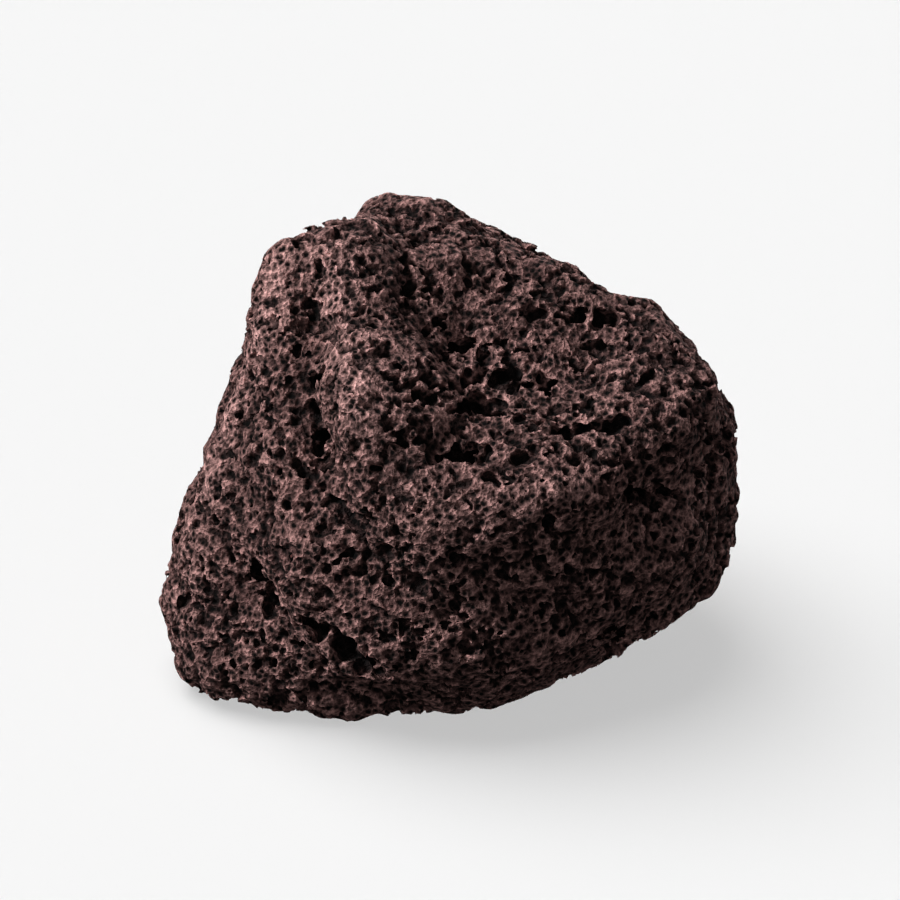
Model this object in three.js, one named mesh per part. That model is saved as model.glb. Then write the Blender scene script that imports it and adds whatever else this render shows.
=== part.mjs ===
// Lava rock: one loose lump of red-brown scoria, as sold for fire bowls and grills.
// The lump is a broken piece of foamy rock: flat-ish fracture faces with blunt edges, a groove
// beside its left flank, a ledge on its right shoulder, and a worn face that it rests on.
// Millimetres, +Z up, +X to the right of the front view; the front faces -Y.
// The origin lies at the level of the resting face, under the middle of the lump.
import * as THREE from 'three';
import { ImprovedNoise } from 'three/addons/math/ImprovedNoise.js';
import { mergeVertices } from 'three/addons/utils/BufferGeometryUtils.js';

// Driving dimensions, mm.
const CORE_HEIGHT = 27;
const SUBDIVISIONS = 17;
const EDGE_SHARPNESS = 16;

// Fracture faces: where each one faces (azimuth from +X, elevation, degrees) and how far it lies
// from the core (mm).
const FRACTURE_FACES = [
  { name: 'left flank', azimuth: 172, elevation: 18, distance: 28.6 },
  { name: 'front left flank', azimuth: -146, elevation: 22, distance: 30.2 },
  { name: 'upper left corner', azimuth: 146, elevation: 50, distance: 32.4 },
  { name: 'crown', azimuth: 95, elevation: 66, distance: 29 },
  { name: 'upper right slope', azimuth: 43, elevation: 54, distance: 26.4 },
  { name: 'right shoulder', azimuth: 16, elevation: 27, distance: 34 },
  { name: 'right side', azimuth: -14, elevation: -4, distance: 37 },
  { name: 'upper front slope', azimuth: -80, elevation: 62, distance: 24 },
  { name: 'front', azimuth: -105, elevation: 12, distance: 31 },
  { name: 'front right', azimuth: -64, elevation: 8, distance: 34 },
  { name: 'lower right', azimuth: -36, elevation: -38, distance: 35.5 },
  { name: 'lower front', azimuth: -85, elevation: -45, distance: 37.5 },
  { name: 'lower left corner', azimuth: -160, elevation: -30, distance: 52.5 },
  { name: 'front left corner', azimuth: -130, elevation: -18, distance: 47 },
  { name: 'left foot', azimuth: 176, elevation: -10, distance: 41.5 },
  { name: 'back right', azimuth: 40, elevation: 5, distance: 31 },
  { name: 'back', azimuth: 85, elevation: 14, distance: 27 },
  { name: 'back left', azimuth: 130, elevation: 4, distance: 31 },
  { name: 'lower back', azimuth: 95, elevation: -38, distance: 29 },
  { name: 'lower back right', azimuth: 45, elevation: -38, distance: 32 },
  { name: 'lower back left', azimuth: 155, elevation: -38, distance: 36 },
  { name: 'underside', azimuth: 80, elevation: -88, distance: 27.8 },
];

// Relief on the faces: a ridge (height above zero) or a groove (below zero) that runs between two
// places, each given as the azimuth and elevation from the core, degrees. Width and height in mm.
const RELIEF = [
  { name: 'groove beside the left flank', from: [-150, 47], to: [-124, 18], width: 3.4, height: -3.2 },
  { name: 'ridge beside the groove', from: [-164, 66], to: [-112, 28], width: 4.5, height: 2 },
  { name: 'ridge down the front', from: [-110, 28], to: [-94, 0], width: 6, height: 1.8 },
  { name: 'peak', from: [120, 58], to: [95, 72], width: 4, height: 1.6 },
  { name: 'notch left of the peak', from: [140, 47], to: [122, 36], width: 6, height: -2.8 },
  { name: 'upper left shoulder', from: [176, 46], to: [168, 45], width: 4, height: 1.4 },
  { name: 'notch behind the right shoulder', from: [-6, 46], to: [36, 32], width: 4, height: -1.8 },
  { name: 'hollow behind the peak', from: [-178, 80], to: [160, 80], width: 3, height: -1.4 },
  { name: 'basin in the slope', from: [-72, 58], to: [-50, 36], width: 7, height: -2.8 },
  { name: 'foot of the basin', from: [-80, 34], to: [-62, 28], width: 4.5, height: -2 },
  { name: 'hole in the basin', from: [-85, 21], to: [-81, 20], width: 3.4, height: -2.4 },
  { name: 'belt under the basin', from: [-100, 12], to: [-72, 13], width: 5, height: 1.4 },
  { name: 'ledge', from: [-80, 12], to: [-36, 22], width: 6, height: 1.4 },
  { name: 'undercut of the ledge', from: [-50, 4], to: [-24, 2], width: 5, height: -2.2 },
  { name: 'shoulder hollow', from: [-28, 44], to: [-24, 42], width: 3.4, height: -1.6 },
  { name: 'hollow beside the front ridge', from: [-120, 8], to: [-116, 7], width: 3.2, height: -1.6 },
  { name: 'low valley', from: [-134, -20], to: [-106, -33], width: 4, height: -3.6 },
  { name: 'bump over the low valley', from: [-122, -4], to: [-102, -12], width: 6, height: 1.8 },
  { name: 'low left lobe', from: [-150, -28], to: [-146, -32], width: 8, height: 0.9 },
  { name: 'waist of the left flank', from: [150, 26], to: [-172, 10], width: 7, height: -1.3 },
  { name: 'low right corner', from: [-26, -26], to: [-12, -22], width: 5, height: 1.8 },
  { name: 'notch low on the right', from: [-22, -38], to: [-28, -46], width: 3.4, height: -2.4 },
  { name: 'back groove', from: [60, 40], to: [112, -20], width: 4.5, height: -2.4 },
  { name: 'back ridge', from: [125, 35], to: [150, -15], width: 5, height: 1.6 },
  { name: 'back hollow', from: [88, 30], to: [100, 20], width: 6, height: -1.8 },
  { name: 'right side groove', from: [-8, 24], to: [14, -22], width: 4, height: -1.8 },
  { name: 'low right lump', from: [22, -20], to: [36, -12], width: 6, height: 1.6 },
];

// Roughness of the broken faces: size of the bumps and how high they stand, mm.
const ROUGHNESS = [
  { size: 18, height: 1.8 },
  { size: 9, height: 1.1 },
  { size: 5, height: 0.5 },
];

const core = new THREE.Vector3(0, 0, CORE_HEIGHT);
const noise = new ImprovedNoise();

function directionOf(azimuth, elevation) {
  const around = THREE.MathUtils.degToRad(azimuth);
  const up = THREE.MathUtils.degToRad(elevation);
  return new THREE.Vector3(
    Math.cos(up) * Math.cos(around),
    Math.cos(up) * Math.sin(around),
    Math.sin(up),
  );
}

const faces = FRACTURE_FACES.map((face) => ({
  normal: directionOf(face.azimuth, face.elevation),
  distance: face.distance,
}));

// Distance from the core to the blunt-edged fracture faces in one direction.
function facetedRadius(direction) {
  let sum = 0;
  for (const face of faces) {
    const facing = Math.max(direction.dot(face.normal), 0);
    sum += (facing / face.distance) ** EDGE_SHARPNESS;
  }
  return sum ** (-1 / EDGE_SHARPNESS);
}

const reliefLines = RELIEF.map((line) => ({
  arc: new THREE.Line3(directionOf(...line.from), directionOf(...line.to)),
  width: line.width,
  height: line.height,
}));

// How far the ridges and grooves move the surface outward in one direction.
function reliefAt(direction, radius) {
  const nearest = new THREE.Vector3();
  let offset = 0;
  for (const line of reliefLines) {
    line.arc.closestPointToPoint(direction, true, nearest);
    const across = nearest.normalize().distanceTo(direction) * radius / line.width;
    offset += line.height * Math.exp(-across * across);
  }
  return offset;
}

function roughnessAt(point) {
  let offset = 0;
  for (const { size, height } of ROUGHNESS) {
    offset += height * noise.noise(point.x / size + 7, point.y / size + 3, point.z / size + 5);
  }
  return offset;
}

function surfacePoint(direction) {
  const faceted = facetedRadius(direction);
  const roughness = roughnessAt(direction.clone().multiplyScalar(faceted));
  const radius = faceted + reliefAt(direction, faceted) + roughness;
  const floorRadius = direction.z < 0 ? CORE_HEIGHT / -direction.z : Infinity;
  return direction.clone().multiplyScalar(Math.min(radius, floorRadius)).add(core);
}

// The lump: a finely divided icosahedron pushed out to the rock's surface and levelled at z = 0.
function lavaRockGeometry() {
  let geometry = new THREE.IcosahedronGeometry(1, SUBDIVISIONS);
  geometry.deleteAttribute('normal');
  geometry.deleteAttribute('uv');
  geometry = mergeVertices(geometry, 1e-5);
  const positions = geometry.getAttribute('position');
  const direction = new THREE.Vector3();
  for (let i = 0; i < positions.count; i += 1) {
    direction.fromBufferAttribute(positions, i).normalize();
    const point = surfacePoint(direction);
    positions.setXYZ(i, point.x, point.y, Math.max(point.z, 0));
  }
  geometry.computeBoundingBox();
  const middle = geometry.boundingBox.getCenter(new THREE.Vector3());
  geometry.translate(-middle.x, -middle.y, 0);
  geometry.computeVertexNormals();
  return geometry;
}

const scoria = new THREE.MeshStandardMaterial({ color: 0x5a413d, roughness: 0.95, metalness: 0 });
const lavaRock = new THREE.Mesh(lavaRockGeometry(), scoria);
lavaRock.name = 'lava_rock';

const model = new THREE.Group();
model.add(lavaRock);
export default model;
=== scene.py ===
"""Lava rock: the looks of one loose lump of scoria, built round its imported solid.

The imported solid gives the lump's shape. Its surface is remade here as a field of distances on a
fine grid: the broken faces are roughened, thousands of gas holes are taken out of it, and the
result is turned back into one closed mesh with a procedural stone material.
"""

import math

import bpy
import numpy as np
import openvdb
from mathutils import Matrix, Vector


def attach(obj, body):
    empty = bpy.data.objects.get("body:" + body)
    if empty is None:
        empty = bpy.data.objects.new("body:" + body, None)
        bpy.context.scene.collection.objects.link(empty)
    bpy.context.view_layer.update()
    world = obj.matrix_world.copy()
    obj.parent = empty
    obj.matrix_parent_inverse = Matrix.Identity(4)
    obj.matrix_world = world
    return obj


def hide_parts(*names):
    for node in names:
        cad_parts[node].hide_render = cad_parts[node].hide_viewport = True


MM = 0.001
NODE = "lava_rock"

# The grid that the surface is worked on, mm: its step, how far from the solid's surface distances
# are known, and the room left round the rock.
VOXEL = 0.24
BAND = 3.6
MARGIN = 2.0

# Roughness of the broken faces: size of the bumps and their height, mm.
ROUGHNESS = ((7.0, 0.5), (3.6, 0.42), (1.9, 0.38), (1.0, 0.3))
# What brings smoothed random numbers back up to about -1 to 1.
NOISE_GAIN = 2.2

# Gas holes, largest first: radius range (mm), holes for each square centimetre of surface, and
# how much wall is left between a hole and its neighbours as a share of its radius, which is
# below zero where holes run into each other.
HOLES = (
    ((1.0, 1.4), 0.2, 0.2),
    ((0.65, 1.0), 1.8, -0.1),
    ((0.4, 0.65), 14.0, -0.3),
    ((0.26, 0.4), 150.0, -0.3),
)
# Where a hole's middle lies, from inside to outside the surface, as a share of its radius.
HOLE_LEVEL = (-0.75, 0.1)
# How far a hole may be stretched or squeezed, as a share of its radius.
HOLE_STRETCH = 0.5
# Roughness of the holes' walls: size of the bumps and their height, mm.
HOLE_RAGGEDNESS = ((1.2, 0.32), (0.65, 0.28))
# Places tried for each hole that is wanted, and how thick a skin of the rock they are taken from.
PLACES_A_HOLE = 8
SKIN = 2.2
# How far from its middle a gas hole's distances are worked out: a share of its radius and then a
# reach in mm. A cavity's hollows have the same reach past their walls.
HOLE_SPAN = 1.3
HOLE_REACH = 1.2
# The distance that stands for no hole near, mm.
NO_HOLE = 9.0

# The point inside the rock that directions are seen from, and how near and far its surface is, mm.
CORE = (-0.2, 3.3, 27)
CORE_TO_SURFACE = (15, 50)

# Larger cavities, each along a line of directions (azimuth, elevation) from the core: the line,
# the cavity's width and its depth in mm.
CAVITIES = (
    (((-162, 56), (-156, 50), (-145, 43)), 1.8, 2.2),
    (((-134, 37), (-129, 30)), 3.6, 4.6),
    (((-128, 26), (-124, 18)), 4.0, 4.8),
    (((-121, 8), (-117, 7), (-110, 4)), 2.2, 2.6),
    (((-92, 22), (-85, 21), (-78, 21)), 3.4, 4.6),
    (((-74, 21), (-68, 20)), 2.8, 3.4),
    (((-97, 35), (-88, 33)), 3.0, 3.6),
    (((-82, 33), (-70, 32)), 3.6, 4.4),
    (((-78, 44), (-66, 40), (-58, 44)), 3.8, 4.0),
    (((-72, 30), (-67, 26)), 3.4, 3.8),
    (((-88, 58), (-66, 52)), 3.8, 4.2),
    (((-60, 39), (-50, 34)), 3.2, 3.4),
    (((-61, 23), (-53, 22), (-46, 23)), 2.8, 4.2),
    (((-108, 42), (-104, 40)), 2.2, 2.6),
    (((-102, 26), (-98, 23)), 2.2, 2.6),
    (((-99, 68), (-94, 64)), 2.8, 2.8),
    (((-25, 47), (-20, 40)), 3.0, 2.8),
    (((160, 76), (165, 72)), 2.4, 1.8),
    (((-150, 77), (-120, 70)), 2.0, 1.8),
    (((-70, 6), (-67, 5)), 2.6, 2.8),
    (((-136, -15), (-129, -21)), 4.2, 4.6),
    (((-118, -18), (-110, -22), (-102, -27)), 4.4, 5.0),
    (((-26, 12), (-20, 0)), 3.0, 3.0),
    (((-50, -24), (-44, -33), (-36, -40)), 4.6, 5.4),
    (((-43, -36), (-38, -40)), 3.8, 4.0),
    (((-52, 8), (-44, 5), (-37, 4)), 2.8, 3.6),
    (((40, 30), (48, 22)), 2.4, 2.2),
    (((95, 20), (100, 8)), 2.2, 2.6),
    (((140, 12), (148, 4)), 2.6, 2.4),
    (((12, 10), (14, -4)), 2.0, 2.4),
)
# A cavity is a row of hollows. The length of a step and a hollow's lowest and highest shift (across,
# along and inwards) and radius are shares of the cavity's width, or of its depth inwards.
HOLLOW_STEP = 0.4
HOLLOWS_A_STEP = 3
HOLLOW_SHIFT = ((-0.35, -0.3, 0.0), (0.35, 0.3, 0.5))
HOLLOW_RADIUS = (0.24, 0.42)

# Dusty ridges smoothed by wear, with small holes and a painted highlight: the line, the ridge's
# width in mm, and how much wear it has, which also sets its painted highlight.
WORN_AND_HIGHLIGHTED_RIDGES = (
    (((-168, 49), (-162, 42), (-160, 32), (-161, 20), (-160, 8), (-156, -2)), 3.2, 1.0),
    (((-156, -2), (-153, -12), (-150, -20)), 2.6, 0.3),
    (((-160, 60), (-148, 55), (-133, 48), (-122, 41), (-112, 30)), 3.2, 1.0),
    (((-108, 24), (-98, 13), (-82, 12), (-62, 14)), 2.6, 0.35),
    (((118, 58), (95, 66), (60, 58)), 2.6, 0.5),
    (((126, 34), (140, 10), (150, -14)), 3.0, 0.8),
    (((30, 40), (22, 20), (26, -4)), 3.0, 0.6),
)
# The step between two points along a ridge, mm.
RIDGE_STEP = 1.0
# How much smaller the holes are where a ridge is fully worn, as a share of their size.
RIDGE_CLOSED = 0.6
SEED = 11

# Mesh of the finished surface: how many triangles it is thinned to, the depth (mm) past which a
# hole's walls are thinned most, the steps up to there, how strongly shallower points are kept,
# and the angle (degrees) from which an edge stays sharp.
TRIANGLES = 199000
DEEP = 1.4
DEEP_STEPS = 10
SHALLOW_KEPT = 0.02
SHARP_ANGLE = 38
# How far round a point its rim is looked for, mm.
RIM_REACH = 0.7

# Flat map of the surface: the share of each area that is filled, and the heights of the rows of
# areas for the outside (two rows) and for the holes' inner walls (one row).
MAP_FILL = 0.93
OUTER_ROW = 0.4
INNER_ROW = 0.2

# Colours of the stone, from the crust to the bottom of the holes.
DARK_CRUST = (0.11, 0.056, 0.052)
BROWN_CRUST = (0.16, 0.081, 0.075)
DUSTY_CRUST = (0.20, 0.102, 0.095)
# The rim colour: partly dust on the edges, partly a painted highlight.
RIM_DUST_AND_HIGHLIGHT = (0.40, 0.217, 0.2)
# The colour of the ridges smoothed by wear: partly dust, partly a painted highlight.
WORN_DUST_AND_HIGHLIGHT = (0.62, 0.345, 0.32)
# The hole colours: partly dark glass, partly painted shade in the holes.
HOLE_WALL_GLASS_AND_SHADE = (0.01, 0.006, 0.006)
HOLE_BOTTOM_GLASS_AND_SHADE = (0.006, 0.004, 0.004)
BUMP_HEIGHT = 0.7

# Studio and camera: metres and degrees, the lens and its sensor in mm.
STUDIO_RADIUS = 3.0
STUDIO_SIDES = 48
FLOOR_GREY = 0.8
BACKDROP_GLOW = 0.93
SKY_STRENGTH = 0.045
LENS = 150
SENSOR = 36
EYE_ELEVATION = 27
EYE_DISTANCE = 0.48
TARGET_HEIGHT = 0.026


def smooth_solid(node):
    """Points (mm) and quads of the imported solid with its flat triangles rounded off."""
    copy = node.copy()
    copy.data = node.data.copy()
    bpy.context.collection.objects.link(copy)
    weld = copy.modifiers.new("weld", "WELD")
    weld.merge_threshold = 1e-6
    rounding = copy.modifiers.new("rounding", "SUBSURF")
    rounding.levels = 2
    bpy.context.view_layer.update()
    graph = bpy.context.evaluated_depsgraph_get()
    mesh = copy.evaluated_get(graph).to_mesh()
    points = np.empty(len(mesh.vertices) * 3, np.float32)
    mesh.vertices.foreach_get("co", points)
    corners = np.empty(len(mesh.loops), np.int32)
    mesh.loops.foreach_get("vertex_index", corners)
    copy.evaluated_get(graph).to_mesh_clear()
    bpy.data.objects.remove(copy)
    return points.reshape(-1, 3) / MM, corners.reshape(-1, 4).astype(np.uint32)


class Grid:
    """A box of regularly spaced samples round the rock, in millimetres."""

    def __init__(self, low, high):
        self.first = np.floor((low - MARGIN) / VOXEL).astype(int)
        last = np.ceil((high + MARGIN) / VOXEL).astype(int)
        self.shape = tuple(int(n) for n in last - self.first + 1)

    def axis(self, k):
        return (self.first[k] + np.arange(self.shape[k])) * VOXEL

    def index_of(self, point):
        return np.asarray(point) / VOXEL - self.first

    def sample(self, field, points):
        """Values of a field at points, from the eight samples round each."""
        place = np.clip(self.index_of(points), 0, np.array(self.shape) - 1.001)
        corner = place.astype(int)
        part = place - corner
        total = np.zeros(len(points))
        for step in np.ndindex(2, 2, 2):
            weight = np.prod(np.where(step, part, 1 - part), axis=1)
            at = corner + step
            total += weight * field[at[:, 0], at[:, 1], at[:, 2]]
        return total


def distance_field(grid, points, quads):
    """Distance from the solid's surface at every sample, below zero inside."""
    reach = BAND / VOXEL
    surface = openvdb.FloatGrid.createLevelSetFromPolygons(
        points,
        quads=quads,
        transform=openvdb.createLinearTransform(voxelSize=VOXEL),
        exBandWidth=reach,
        inBandWidth=reach,
    )
    field = np.empty(grid.shape, np.float32)
    surface.copyToArray(field, ijk=tuple(int(n) for n in grid.first))
    return field


def soft_noise(grid, size, rng):
    """Smooth noise of about -1 to 1 whose bumps are as far apart as size, in mm."""
    counts = [int(n * VOXEL / size) + 4 for n in grid.shape]
    result = rng.uniform(-1, 1, counts).astype(np.float32)
    for k, n in enumerate(grid.shape):
        place = np.arange(n) * VOXEL / size
        cell = place.astype(int)
        t = place - cell
        weights = np.zeros((n, counts[k]), np.float32)
        rows = np.arange(n)
        weights[rows, cell] = (1 - t) ** 3 / 6
        weights[rows, cell + 1] = (3 * t**3 - 6 * t**2 + 4) / 6
        weights[rows, cell + 2] = (-3 * t**3 + 3 * t**2 + 3 * t + 1) / 6
        weights[rows, cell + 3] = t**3 / 6
        result = np.moveaxis(np.tensordot(weights, result, axes=(1, k)), 0, k)
    return result * NOISE_GAIN


def take_out_hole(grid, holes, centre, radii, turn, reach):
    """Lowers the field of distances to the nearest hole round one egg-shaped hole."""
    middle = grid.index_of(centre)
    low = np.maximum(np.floor(middle - reach / VOXEL).astype(int), 0)
    high = np.minimum(np.ceil(middle + reach / VOXEL).astype(int) + 1, grid.shape)
    spans = [(np.arange(low[k], high[k]) - middle[k]) * VOXEL for k in range(3)]
    x = spans[0][:, None, None]
    y = spans[1][None, :, None]
    z = spans[2][None, None, :]
    total = 0.0
    for row, radius in zip(turn, radii):
        total = total + ((row[0] * x + row[1] * y + row[2] * z) / radius) ** 2
    distance = (np.sqrt(total) - 1) * min(radii)
    box = holes[low[0] : high[0], low[1] : high[1], low[2] : high[2]]
    np.minimum(box, distance, out=box)


def random_turn(rng):
    """A random rotation matrix."""
    matrix, _ = np.linalg.qr(rng.normal(size=(3, 3)))
    return matrix


def direction(azimuth, elevation):
    """The unit vector that points an azimuth round from +X and an elevation up, in degrees."""
    around = math.radians(azimuth)
    up = math.radians(elevation)
    flat = math.cos(up)
    return np.array((flat * math.cos(around), flat * math.sin(around), math.sin(up)))


def surface_point(grid, solid, heading):
    """Where the line from the core in a direction leaves the solid."""
    steps = np.arange(*CORE_TO_SURFACE, VOXEL / 2)
    line = np.array(CORE) + steps[:, None] * heading
    outside = grid.sample(solid, line) > 0
    return line[outside.argmax()]


def walk(grid, solid, route, step):
    """Places along a route on the solid, with the directions along it, across it and outwards."""
    corners = [surface_point(grid, solid, direction(*place)) for place in route]
    for start, end in zip(corners, corners[1:]):
        count = max(2, round(float(np.linalg.norm(end - start)) / step))
        for k in range(count):
            middle = start + (end - start) * k / count - CORE
            outwards = middle / np.linalg.norm(middle)
            along = np.cross(outwards, np.cross(end - start, outwards))
            along /= np.linalg.norm(along)
            place = surface_point(grid, solid, outwards)
            yield place, along, np.cross(outwards, along), outwards


def cavities(grid, solid, holes, rng):
    """Takes the named larger cavities out, each as a row of ragged, overlapping hollows."""
    for route, width, depth in CAVITIES:
        for place, along, across, outwards in walk(grid, solid, route, HOLLOW_STEP * width):
            for _ in range(HOLLOWS_A_STEP):
                sideways, onwards, inwards = rng.uniform(*HOLLOW_SHIFT)
                centre = place + width * (sideways * across + onwards * along)
                centre -= inwards * depth * outwards
                radii = np.array((1, 1, depth / width)) * width * rng.uniform(*HOLLOW_RADIUS, 3)
                turn = (along, across, outwards)
                take_out_hole(grid, holes, centre, radii, turn, max(radii) + HOLE_REACH)


def worn_and_highlighted_ridges(grid, solid):
    """Points along the ridges smoothed by wear, each with the ridge's width and its wear, which also
    sets its painted highlight.
    """
    rows = []
    for route, width, wear_and_highlight in WORN_AND_HIGHLIGHTED_RIDGES:
        for place, *_ in walk(grid, solid, route, RIDGE_STEP):
            rows.append((place, width, wear_and_highlight))
    return rows


def wear_and_highlight_at(points, ridges):
    """How much wear the surface has near each point, from 0 to 1, which also sets its painted
    highlight.
    """
    total = np.zeros(len(points))
    for place, width, wear_and_highlight in ridges:
        away = ((points - place) ** 2).sum(axis=1)
        total = np.maximum(total, wear_and_highlight * np.exp(-away / width**2))
    return total


def gas_holes(grid, solid, area, ridges, rng):
    """Field of distances to the nearest gas hole, with the holes set close under the surface."""
    holes = np.full(grid.shape, NO_HOLE, np.float32)
    cavities(grid, solid, holes, rng)
    skin = np.flatnonzero(np.abs(solid) < SKIN)
    level = solid.ravel()[skin]
    for (small, large), per_cm2, wall in HOLES:
        inner, outer = (share * (small + large) / 2 for share in HOLE_LEVEL)
        fits = skin[(level < outer) & (level > inner)]
        wanted = int(per_cm2 * area / 100)
        made = 0
        picks = rng.choice(fits, wanted * PLACES_A_HOLE)
        picks = np.stack(np.unravel_index(picks, grid.shape), axis=1)
        centres = (grid.first + picks + rng.uniform(-0.5, 0.5, picks.shape)) * VOXEL
        closed = RIDGE_CLOSED * wear_and_highlight_at(centres, ridges)
        for at, centre, shrink in zip(picks, centres, 1 - closed):
            radius = rng.uniform(small, large) * shrink
            if holes[tuple(at)] < radius * (1 + wall):
                continue
            radii = radius * (1 + rng.uniform(-HOLE_STRETCH, HOLE_STRETCH, 3))
            reach = radius * HOLE_SPAN + HOLE_REACH
            take_out_hole(grid, holes, centre, radii, random_turn(rng), reach)
            made += 1
            if made == wanted:
                break
    for size, height in HOLE_RAGGEDNESS:
        holes += height * soft_noise(grid, size, rng)
    return holes


def largest_piece(points, quads):
    """Keeps the faces of the largest connected surface, so no loose crumb is left."""
    label = np.arange(len(points))
    ends = np.concatenate([quads[:, [0, 1]], quads[:, [1, 2]], quads[:, [2, 3]]])
    while True:
        lowest = np.minimum(label[ends[:, 0]], label[ends[:, 1]])
        before = label.copy()
        np.minimum.at(label, ends[:, 0], lowest)
        np.minimum.at(label, ends[:, 1], lowest)
        label = label[label]
        if np.array_equal(before, label):
            break
    kept_label = np.bincount(label).argmax()
    kept = label == kept_label
    number = np.cumsum(kept) - 1
    return points[kept], number[quads[kept[quads[:, 0]]]]


def surface_mesh(grid, field):
    """One closed mesh (in millimetres) where the field is zero."""
    volume = openvdb.FloatGrid(BAND)
    volume.transform = openvdb.createLinearTransform(voxelSize=VOXEL)
    volume.copyFromArray(field, ijk=tuple(int(n) for n in grid.first))
    volume.gridClass = openvdb.GridClass.LEVEL_SET
    points, _, quads = volume.convertToPolygons(isovalue=0.0, adaptivity=0.0)
    points, quads = largest_piece(points, quads.astype(np.int64))
    mesh = bpy.data.meshes.new(NODE + "_surface")
    mesh.from_pydata(points.tolist(), [], quads[:, ::-1].tolist())
    mesh.validate()
    return mesh


def points_of(mesh):
    """The mesh's points as an array with a row for each."""
    points = np.empty(len(mesh.vertices) * 3, np.float32)
    mesh.vertices.foreach_get("co", points)
    return points.reshape(-1, 3)


def thinned(mesh, depth):
    """The mesh with fewer triangles, kept where it bends most and where it isn't deep in a hole."""
    work = bpy.data.objects.new("work", mesh)
    bpy.context.collection.objects.link(work)
    group = work.vertex_groups.new(name="deep")
    steps = np.clip(np.round(depth / DEEP * DEEP_STEPS), 1, DEEP_STEPS).astype(int)
    for step in range(1, DEEP_STEPS + 1):
        group.add(np.flatnonzero(steps == step).tolist(), step / DEEP_STEPS, "REPLACE")
    split = work.modifiers.new("split", "TRIANGULATE")
    split.min_vertices = 4
    thin = work.modifiers.new("thin", "DECIMATE")
    thin.ratio = min(1.0, TRIANGLES / (2 * len(mesh.polygons)))
    thin.vertex_group = "deep"
    thin.vertex_group_factor = SHALLOW_KEPT
    graph = bpy.context.evaluated_depsgraph_get()
    made = bpy.data.meshes.new_from_object(work.evaluated_get(graph))
    bpy.data.objects.remove(work)
    bpy.data.meshes.remove(mesh)
    return made


def blurred(field, steps):
    """The field averaged over a cube of samples, steps to each side."""
    for k in range(3):
        total = np.cumsum(field, axis=k, dtype=np.float64)
        wide = 2 * steps + 1
        mean = (np.roll(total, -steps, axis=k) - np.roll(total, steps + 1, axis=k)) / wide
        field = mean.astype(np.float32)
    return field


def bake_map(mesh, places):
    """Lays the surface out flat as seen from the core on the six sides of a box round it.

    Faces that look back at the core, inside the holes, have six smaller areas of their own.
    """
    corners = np.empty(len(mesh.loops), np.int32)
    mesh.loops.foreach_get("vertex_index", corners)
    corners = corners.reshape(-1, 3)
    outwards = places - CORE
    middle = outwards[corners].mean(axis=1)
    first, second, third = (outwards[corners[:, k]] for k in range(3))
    facing = np.cross(second - first, third - first)
    inside = (facing * middle).sum(axis=1) < 0
    axis = np.abs(middle).argmax(axis=1)
    rows = np.arange(len(corners))
    side = axis + 3 * (middle[rows, axis] < 0)
    flat = np.empty((len(corners), 3, 2))
    for k in range(3):
        point = outwards[corners[:, k]]
        depth = np.abs(point[rows, axis])
        for j in range(2):
            flat[:, k, j] = np.arctan2(point[rows, (axis + j + 1) % 3], depth) / (math.pi / 2)
    width = np.where(inside, 1 / 6, 1 / 3)[:, None]
    height = np.where(inside, INNER_ROW, OUTER_ROW)[:, None]
    column = np.where(inside, side, side % 3)[:, None] * width
    row = np.where(inside, 2 * OUTER_ROW, side // 3 * OUTER_ROW)[:, None]
    flat *= MAP_FILL
    u = column + (0.5 + flat[..., 0]) * width
    v = row + (0.5 + flat[..., 1]) * height
    layer = mesh.uv_layers.new(name="OFBake")
    layer.data.foreach_set("uv", np.stack((u, v), -1).astype(np.float32).ravel())


def add_values(mesh, name, values):
    """Stores one number for each point of the mesh, for the material to read."""
    mesh.attributes.new(name, "FLOAT", "POINT").data.foreach_set("value", values)


def rock_surface(node):
    """The finished surface of the rock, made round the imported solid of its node."""
    points, quads = smooth_solid(node)
    grid = Grid(points.min(axis=0), points.max(axis=0))
    rng = np.random.default_rng(SEED)
    solid = distance_field(grid, points, quads)
    for size, height in ROUGHNESS:
        solid += height * soft_noise(grid, size, rng)
    area = sum(face.area for face in node.data.polygons) / MM**2
    ridges = worn_and_highlighted_ridges(grid, solid)
    holes = gas_holes(grid, solid, area, ridges, rng)
    field = np.maximum(solid, -holes)
    height = grid.axis(2)[None, None, :].astype(np.float32)
    field = np.maximum(field, -height)
    mesh = surface_mesh(grid, field)
    mesh = thinned(mesh, -grid.sample(solid, points_of(mesh)))
    places = points_of(mesh)
    places[:, 2] = np.maximum(places[:, 2], 0)
    near = blurred(np.clip(field, -RIM_REACH, RIM_REACH), round(RIM_REACH / VOXEL))
    # How deep each point lies below the rough surface: the material darkens the bottoms of the holes
    # with it, partly as painted shade.
    add_values(mesh, "pit_depth", -grid.sample(solid, places))
    # How far each point stands out: the material makes rims paler with it, partly as a painted
    # highlight, and hollows darker, partly as painted shade.
    add_values(mesh, "rim", grid.sample(near, places) / RIM_REACH)
    # How much wear each point has: the material makes the ridges paler with it, partly as a painted
    # highlight.
    add_values(mesh, "wear_and_highlight", wear_and_highlight_at(places, ridges))
    mesh.vertices.foreach_set("co", (places * MM).ravel())
    bake_map(mesh, places)
    mesh.shade_smooth()
    mesh.set_sharp_from_angle(angle=math.radians(SHARP_ANGLE))
    return mesh


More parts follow.
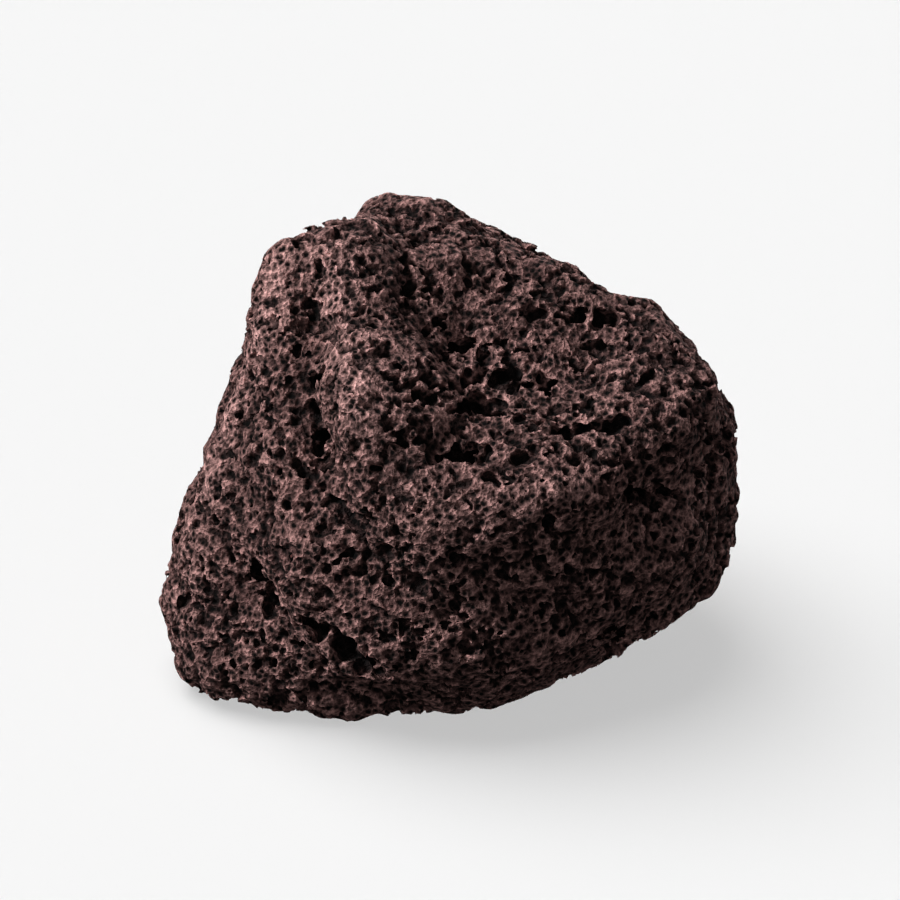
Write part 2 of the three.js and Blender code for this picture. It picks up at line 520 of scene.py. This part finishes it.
class Shading:
    """Short ways to add the nodes of one material."""

    def __init__(self, name):
        self.material = bpy.data.materials.new(name)
        self.material.use_nodes = True
        self.tree = self.material.node_tree
        self.shader = self.tree.nodes["Principled BSDF"]
        self.place = self.node("ShaderNodeTexCoord").outputs["Object"]

    def node(self, kind, **values):
        made = self.tree.nodes.new(kind)
        for name, value in values.items():
            setattr(made, name, value)
        return made

    def put(self, value, socket):
        """Links a node's output to a socket, or sets the socket to a number or colour."""
        if isinstance(value, bpy.types.NodeSocket):
            self.tree.links.new(value, socket)
        elif isinstance(value, tuple):
            socket.default_value = (*value, 1)
        else:
            socket.default_value = value

    def noise(self, size, detail=3, roughness=0.6, place=None, output="Fac"):
        made = self.node("ShaderNodeTexNoise")
        made.inputs["Scale"].default_value = 1 / (size * MM)
        made.inputs["Detail"].default_value = detail
        made.inputs["Roughness"].default_value = roughness
        self.put(place or self.place, made.inputs["Vector"])
        return made.outputs[output]

    def bubbles(self, size, place):
        made = self.node("ShaderNodeTexVoronoi")
        made.inputs["Scale"].default_value = 1 / (size * MM)
        self.put(place, made.inputs["Vector"])
        return made.outputs["Distance"]

    def spread(self, value, low, high, out_low=0.0, out_high=1.0, smooth=False):
        made = self.node("ShaderNodeMapRange")
        made.interpolation_type = "SMOOTHSTEP" if smooth else "LINEAR"
        ends = (("From Min", low), ("From Max", high), ("To Min", out_low), ("To Max", out_high))
        self.put(value, made.inputs["Value"])
        for name, number in ends:
            made.inputs[name].default_value = number
        return made.outputs["Result"]

    def combine(self, operation, first, second):
        made = self.node("ShaderNodeMath", operation=operation)
        self.put(first, made.inputs[0])
        self.put(second, made.inputs[1])
        return made.outputs[0]

    def shaken(self, size, reach):
        """The place on the rock, shaken by noise so that what is drawn there is ragged."""
        made = self.node("ShaderNodeVectorMath", operation="MULTIPLY_ADD")
        self.put(self.noise(size, 2, output="Color"), made.inputs[0])
        made.inputs[1].default_value = (2 * reach * MM,) * 3
        self.put(self.place, made.inputs[2])
        return made.outputs[0]

    def mix(self, share, first, second, blend="MIX"):
        made = self.node("ShaderNodeMix", data_type="RGBA", blend_type=blend)
        for name, value in (("Factor", share), ("A", first), ("B", second)):
            self.put(value, next(s for s in made.inputs if s.name == name and s.enabled))
        return next(s for s in made.outputs if s.enabled)

    def grey(self, value):
        made = self.node("ShaderNodeCombineColor")
        for channel in ("Red", "Green", "Blue"):
            self.put(value, made.inputs[channel])
        return made.outputs["Color"]

    def attribute(self, name):
        return self.node("ShaderNodeAttribute", attribute_name=name).outputs["Fac"]


def stone_material():
    """Dark red-brown glassy crust, paler on the rims from dust and a painted highlight, near black
    down in the holes from dark glass and painted shade.
    """
    m = Shading("scoria")

    # Bubbles too small for the mesh, with sharp threads between them.
    ragged = m.shaken(0.7, 0.28)
    bowls = m.spread(m.bubbles(0.95, ragged), 0.22, 0.78)
    pin_holes = m.spread(m.bubbles(0.5, ragged), 0.15, 0.7, 0.35, 1.0)
    relief = m.combine("POWER", m.combine("MULTIPLY", bowls, pin_holes), 1.3)

    # Crust with dusty patches, paler on the rims and on the ridges smoothed by wear, partly from
    # dust and partly as a painted highlight.
    body = m.mix(m.spread(m.noise(14), 0.35, 0.65), DARK_CRUST, BROWN_CRUST)
    body = m.mix(m.spread(m.noise(2.2, 4), 0.4, 0.7), body, DUSTY_CRUST)
    wear_and_highlight = m.combine("MULTIPLY", m.attribute("wear_and_highlight"), m.spread(m.noise(3.5), 0.3, 0.6, 0.5, 1.1))
    rim = m.spread(m.attribute("rim"), 0.0, 0.34)
    body = m.mix(rim, body, RIM_DUST_AND_HIGHLIGHT)
    body = m.mix(wear_and_highlight, body, WORN_DUST_AND_HIGHLIGHT)

    # Walls and bottoms of the holes darker, partly dark glass and partly painted shade, and fine
    # dark and light grains over everything.
    pit_glass_and_shade = m.spread(m.attribute("rim"), -0.2, 0.07, 0.95, 0.0)
    body = m.mix(pit_glass_and_shade, body, HOLE_WALL_GLASS_AND_SHADE)
    deep = m.spread(m.attribute("pit_depth"), 0.9, 2.0, 0.0, 0.9)
    body = m.mix(deep, body, HOLE_BOTTOM_GLASS_AND_SHADE)
    grain = m.spread(m.noise(0.3), 0.3, 0.7, 0.6, 1.4)
    # Painted shade down in the small bubbles, lighter on the threads between them, times a fine
    # grain.
    bubble_shade_and_grain = m.combine("MULTIPLY", m.spread(relief, 0, 0.8, 0.0, 2.3), grain)
    body = m.mix(1.0, body, m.grey(bubble_shade_and_grain), "MULTIPLY")
    m.put(body, m.shader.inputs["Base Color"])

    # The same small bubbles and a fine grit as bumps.
    bump = m.node("ShaderNodeBump")
    bump.inputs["Strength"].default_value = 1.0
    bump.inputs["Distance"].default_value = BUMP_HEIGHT * MM
    grit = m.spread(m.noise(0.6, 5, 0.7), 0, 1, 0, 0.5)
    m.put(m.combine("ADD", relief, grit), bump.inputs["Height"])
    m.put(bump.outputs["Normal"], m.shader.inputs["Normal"])
    m.shader.inputs["Roughness"].default_value = 0.95
    m.shader.inputs["Specular IOR Level"].default_value = 0.2
    return m.material


def lamp(name, azimuth, elevation, strength, angle, lit):
    """A distant lamp that shines from a direction given in degrees, on one collection."""
    data = bpy.data.lights.new(name, "SUN")
    data.energy = strength
    data.angle = math.radians(angle)
    made = bpy.data.objects.new(name, data)
    bpy.context.collection.objects.link(made)
    towards = Vector(direction(azimuth, elevation))
    made.rotation_euler = towards.to_track_quat("Z", "Y").to_euler()
    made.light_linking.receiver_collection = lit
    return made


def matt(name, grey, glow=0.0):
    """A matt grey material that may glow white."""
    material = bpy.data.materials.new(name)
    material.use_nodes = True
    shader = material.node_tree.nodes["Principled BSDF"]
    shader.inputs["Base Color"].default_value = (grey, grey, grey, 1)
    shader.inputs["Roughness"].default_value = 1
    shader.inputs["Specular IOR Level"].default_value = 0
    shader.inputs["Emission Color"].default_value = (1, 1, 1, 1)
    shader.inputs["Emission Strength"].default_value = glow
    return material


def stage_piece(name, corners, faces, material):
    """A piece of the studio that is seen by the camera but throws no light on the rock."""
    mesh = bpy.data.meshes.new(name)
    mesh.from_pydata(corners, [], faces)
    mesh.materials.append(material)
    piece = bpy.data.objects.new(name, mesh)
    bpy.context.collection.objects.link(piece)
    piece.visible_diffuse = False
    piece.visible_glossy = False
    return piece


def floor_and_backdrop():
    """A round pale floor with a glowing wall round it that throws no shadow."""
    sides = STUDIO_SIDES
    turns = [2 * math.pi * k / sides for k in range(sides)]
    ring = [(STUDIO_RADIUS * math.cos(t), STUDIO_RADIUS * math.sin(t)) for t in turns]
    low = [(x, y, 0) for x, y in ring]
    high = [(x, y, STUDIO_RADIUS) for x, y in ring]
    floor = stage_piece("floor", low, [tuple(range(sides))], matt("floor", FLOOR_GREY))
    walls = [(k, (k + 1) % sides, sides + (k + 1) % sides, sides + k) for k in range(sides)]
    glowing = matt("backdrop", 0, BACKDROP_GLOW)
    backdrop = stage_piece("backdrop", low + high, walls, glowing)
    backdrop.visible_shadow = False
    return floor


def studio():
    """Floor, backdrop, sky and lamps. Gives the collection that the rock's own lamps light."""
    floor = floor_and_backdrop()
    world = bpy.data.worlds.new("world")
    world.use_nodes = True
    background = world.node_tree.nodes["Background"]
    background.inputs["Color"].default_value = (1, 1, 1, 1)
    background.inputs["Strength"].default_value = SKY_STRENGTH
    bpy.context.scene.world = world

    floor_only = bpy.data.collections.new("floor_only")
    floor_only.objects.link(floor)
    rock_only = bpy.data.collections.new("rock_only")
    lamp("key", 186, 38, 2.85, 8, rock_only)
    lamp("fill", -95, 32, 0.41, 60, rock_only)
    lamp("floor_shade", 150, 62, 1.7, 60, floor_only)
    lamp("back", 62, 16, 1.5, 60, rock_only)
    lift = lamp("floor_lift", 0, 90, 2.01, 0, floor_only)
    lift.data.use_shadow = False
    return rock_only


def camera():
    """Looks down on the front of the rock from straight ahead."""
    data = bpy.data.cameras.new("camera")
    data.lens = LENS
    data.sensor_width = SENSOR
    eye = bpy.data.objects.new("camera", data)
    bpy.context.collection.objects.link(eye)
    elevation = math.radians(EYE_ELEVATION)
    target = Vector((0, 0, TARGET_HEIGHT))
    back = Vector((0, -math.cos(elevation), math.sin(elevation)))
    eye.location = target + back * EYE_DISTANCE
    eye.rotation_euler = (-back).to_track_quat("-Z", "Y").to_euler()
    bpy.context.scene.camera = eye


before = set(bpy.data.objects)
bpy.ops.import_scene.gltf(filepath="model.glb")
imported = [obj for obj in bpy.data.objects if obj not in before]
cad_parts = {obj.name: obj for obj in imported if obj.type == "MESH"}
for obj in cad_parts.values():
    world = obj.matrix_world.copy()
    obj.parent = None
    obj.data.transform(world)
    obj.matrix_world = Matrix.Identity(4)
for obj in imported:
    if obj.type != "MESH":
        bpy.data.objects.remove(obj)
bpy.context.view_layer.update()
camera()
lit_rock = studio()

rock = bpy.data.objects.new("lava_rock_surface", rock_surface(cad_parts[NODE]))
bpy.context.collection.objects.link(rock)
rock.data.materials.append(stone_material())
lit_rock.objects.link(rock)
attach(rock, "root")
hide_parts(NODE)

bpy.context.scene.view_settings.view_transform = "Standard"
